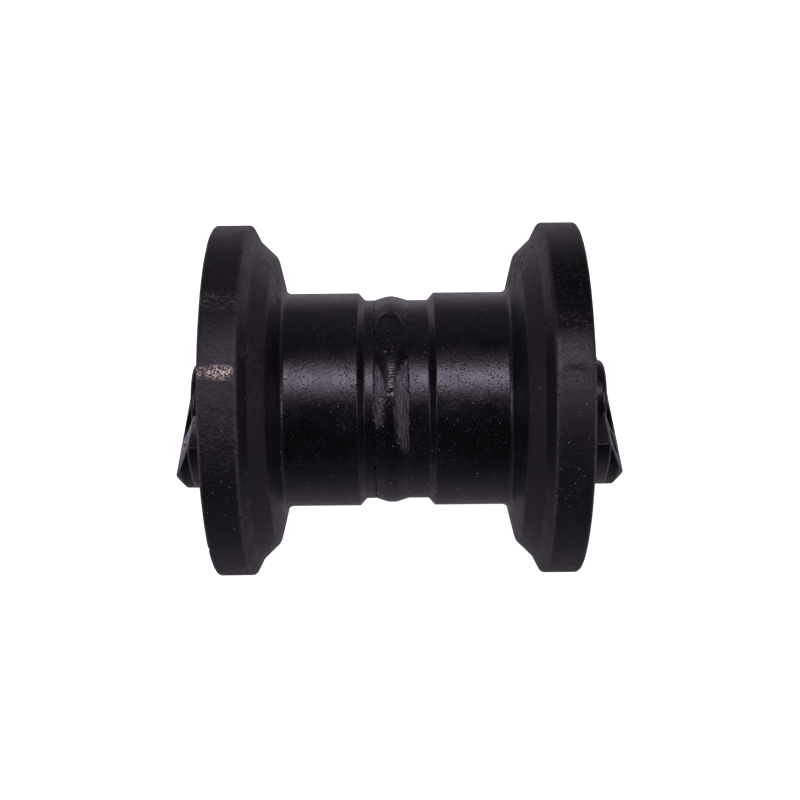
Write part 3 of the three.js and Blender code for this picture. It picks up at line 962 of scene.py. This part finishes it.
def shaft_finish():
    """Ground steel inside the collars, painted black where the ends show."""
    shader, colour, rough, height = paint("shaft_finish", pits=0.3, peel=0.8)
    along = shader.math("ABSOLUTE", shader.split(shader.coords)["X"])
    ends = shader.ramp(along, 76.0, 77.5)
    grooves = shader.noise(0.15, 3, 0.6, shader.scaled(1.0, 0.05, 0.05))
    steel = shader.mix(grooves, (0.38, 0.37, 0.36), (0.50, 0.49, 0.48))
    colour = shader.mix(ends, steel, colour)
    shader.set(Metallic=shader.plus(1.0, ends, -1.0))
    return finish_paint(shader, colour, rough, height)


def turned_metal(name, dark, light, rough, groove=0.02, size=0.15):
    """Metal with fine marks of turning about the roller's axis."""
    shader = Shader(name)
    marks = shader.noise(size, 3, 0.65, shader.scaled(1.0, 0.08, 0.08))
    stain = shader.noise(5, 4)
    colour = shader.mix(shader.times(marks, stain), dark, light)
    shader.set(
        Base_Color=colour,
        Metallic=1.0,
        Roughness=shader.ramp(stain, 0.3, 0.7, rough - 0.06, rough + 0.08),
        Normal=shader.bump(shader.times(marks, groove)),
    )
    return shader.material


def rubber():
    shader = Shader("seal_rubber")
    grain = shader.noise(0.3, 4)
    shader.set(
        Base_Color=shader.mix(shader.noise(4, 3), (0.010, 0.010, 0.010), (0.022, 0.021, 0.020)),
        Roughness=shader.ramp(grain, 0.3, 0.7, 0.6, 0.8),
        Normal=shader.bump(shader.times(grain, 0.03)),
    )
    return shader.material


def dress(made, material):
    made.data.materials.clear()
    made.data.materials.append(material)


def dress_node(name, material):
    """A CAD node keeps its mesh and gets a material and a small bevel."""
    node = frame["nodes"][name]
    if not node.material_slots:
        node.data.materials.append(material)
    for slot in node.material_slots:
        slot.link = "OBJECT"
        slot.material = material
    ease = node.modifiers.new("eased_edges", "BEVEL")
    ease.width = 0.15 * MM
    ease.segments = 2
    ease.limit_method = "ANGLE"
    ease.angle_limit = math.radians(40)


# ---------------------------------------------------------------- studio

FLOOR_Z = -FLANGE_R - 0.2
FLOOR_HALF = 4000


def make_floor():
    turns = ((-1, -1), (1, -1), (1, 1), (-1, 1))
    corners = [(x * FLOOR_HALF, y * FLOOR_HALF, FLOOR_Z) for x, y in turns]
    floor = make_object("floor", corners, [(0, 1, 2, 3)])
    shader = Shader("floor_white")
    shader.set(
        Base_Color=shader.mix(shader.noise(300, 2), (0.90, 0.90, 0.90), (0.93, 0.93, 0.93)),
        Roughness=0.9,
        Emission_Color=(1.0, 1.0, 1.0),
        Emission_Strength=1.0,
    )
    dress(floor, shader.material)
    floor.visible_glossy = False


def area_light(name, azimuth, elevation, distance, size, watts, colour):
    """A rectangular light aimed at the roller. Azimuth 0 is in front, and positive is to the right."""
    data = bpy.data.lights.new(name, "AREA")
    data.shape = "RECTANGLE"
    data.size, data.size_y = size[0] * MM, size[1] * MM
    data.energy = watts
    data.color = colour
    light = bpy.data.objects.new(name, data)
    bpy.context.collection.objects.link(light)
    turn, lift = math.radians(azimuth), math.radians(elevation)
    direction = Vector((
        math.sin(turn) * math.cos(lift), -math.cos(turn) * math.cos(lift), math.sin(lift)
    ))
    light.location = direction * distance * MM
    light.rotation_euler = direction.to_track_quat("Z", "Y").to_euler()


# How bright the surroundings are by direction, where 0 is level in front, 90 overhead and 180 level behind.
SURROUNDINGS = (
    (-180, 0.62),
    (-150, 0.30),
    (-100, 0.24),
    (-75, 0.30),
    (-45, 0.08),
    (-25, 0.0),
    (92, 0.0),
    (106, 0.10),
    (118, 0.20),
    (150, 0.18),
    (165, 0.40),
    (180, 0.62),
)
SIDES = 0.30
SKY_TINT = (1.0, 0.90, 1.05)
LIGHT_DISTANCE = 900


def make_world():
    """Soft surroundings that only the roller sees: dark in front, paler behind, below and to the sides."""
    world = bpy.data.worlds.new("studio")
    world.use_nodes = True
    bpy.context.scene.world = world
    nodes = Nodes(world.node_tree)
    direction = nodes.add("ShaderNodeTexCoord").outputs["Generated"]
    split = nodes.split(direction)
    front = nodes.times(split["Y"], -1.0)
    angle = nodes.math("ARCTAN2", split["Z"], front)
    place = nodes.plus(0.5, angle, 0.5 / math.pi)
    levels = nodes.add("ShaderNodeValToRGB", Fac=place)
    stops = levels.color_ramp.elements
    while len(stops) < len(SURROUNDINGS):
        stops.new(0.5)
    for stop, (degrees, level) in zip(stops, SURROUNDINGS):
        stop.position = 0.5 + degrees / 360
        stop.color = (level, level, level, 1)
    sideways = nodes.ramp(nodes.math("ABSOLUTE", split["X"]), 0.62, 1.0)
    seen = nodes.mix(sideways, levels.outputs["Color"], (SIDES, SIDES, SIDES))
    tinted = nodes.mix(1.0, seen, SKY_TINT)
    tinted.node.blend_type = "MULTIPLY"
    behind = nodes.add("ShaderNodeLightPath").outputs["Is Camera Ray"]
    nodes.feed(nodes.tree.nodes["Background"].inputs["Color"], nodes.mix(behind, tinted, (1, 1, 1)))


def make_lights():
    """A softbox above the front, which makes the long highlight, and a smaller light to each side."""
    area_light("softbox", 2, 59, LIGHT_DISTANCE, (420, 230), 3.2, (1.0, 0.92, 1.03))
    for side in (-1, 1):
        area_light(f"strip_{side}", side * 52, 24, LIGHT_DISTANCE, (200, 340), 1.5, (1.0, 0.93, 1.05))


# ---------------------------------------------------------------- the whole

make_camera()

dress(make_shell(-1), shell_paint("shell_paint_left", 0.035))
dress(make_shell(1), shell_paint("shell_paint_right", 0.012))
dress(make_weld(), weld_paint())
dress(make_collar(-1), collar_paint("collar_paint_left", True))
dress(make_collar(1), collar_paint("collar_paint_right", False))
dress(make_shaft(), shaft_finish())

FINISHES = {
    "bearing_bronze": turned_metal("bearing_bronze", (0.30, 0.19, 0.08), (0.62, 0.43, 0.21), 0.34),
    "seal_iron": turned_metal("seal_iron", (0.12, 0.12, 0.13), (0.36, 0.36, 0.37), 0.28),
    "pin_steel": turned_metal("pin_steel", (0.20, 0.19, 0.18), (0.42, 0.41, 0.40), 0.36, size=0.6),
    "plug_steel": turned_metal("plug_steel", (0.30, 0.29, 0.28), (0.58, 0.57, 0.55), 0.32),
    "seal_rubber": rubber(),
}
for part in frame["record"]["subparts"]:
    if part["material_slot"] in FINISHES:
        dress_node(part["node"], FINISHES[part["material_slot"]])

make_floor()
make_world()
make_lights()
bpy.context.scene.view_settings.view_transform = "Standard"
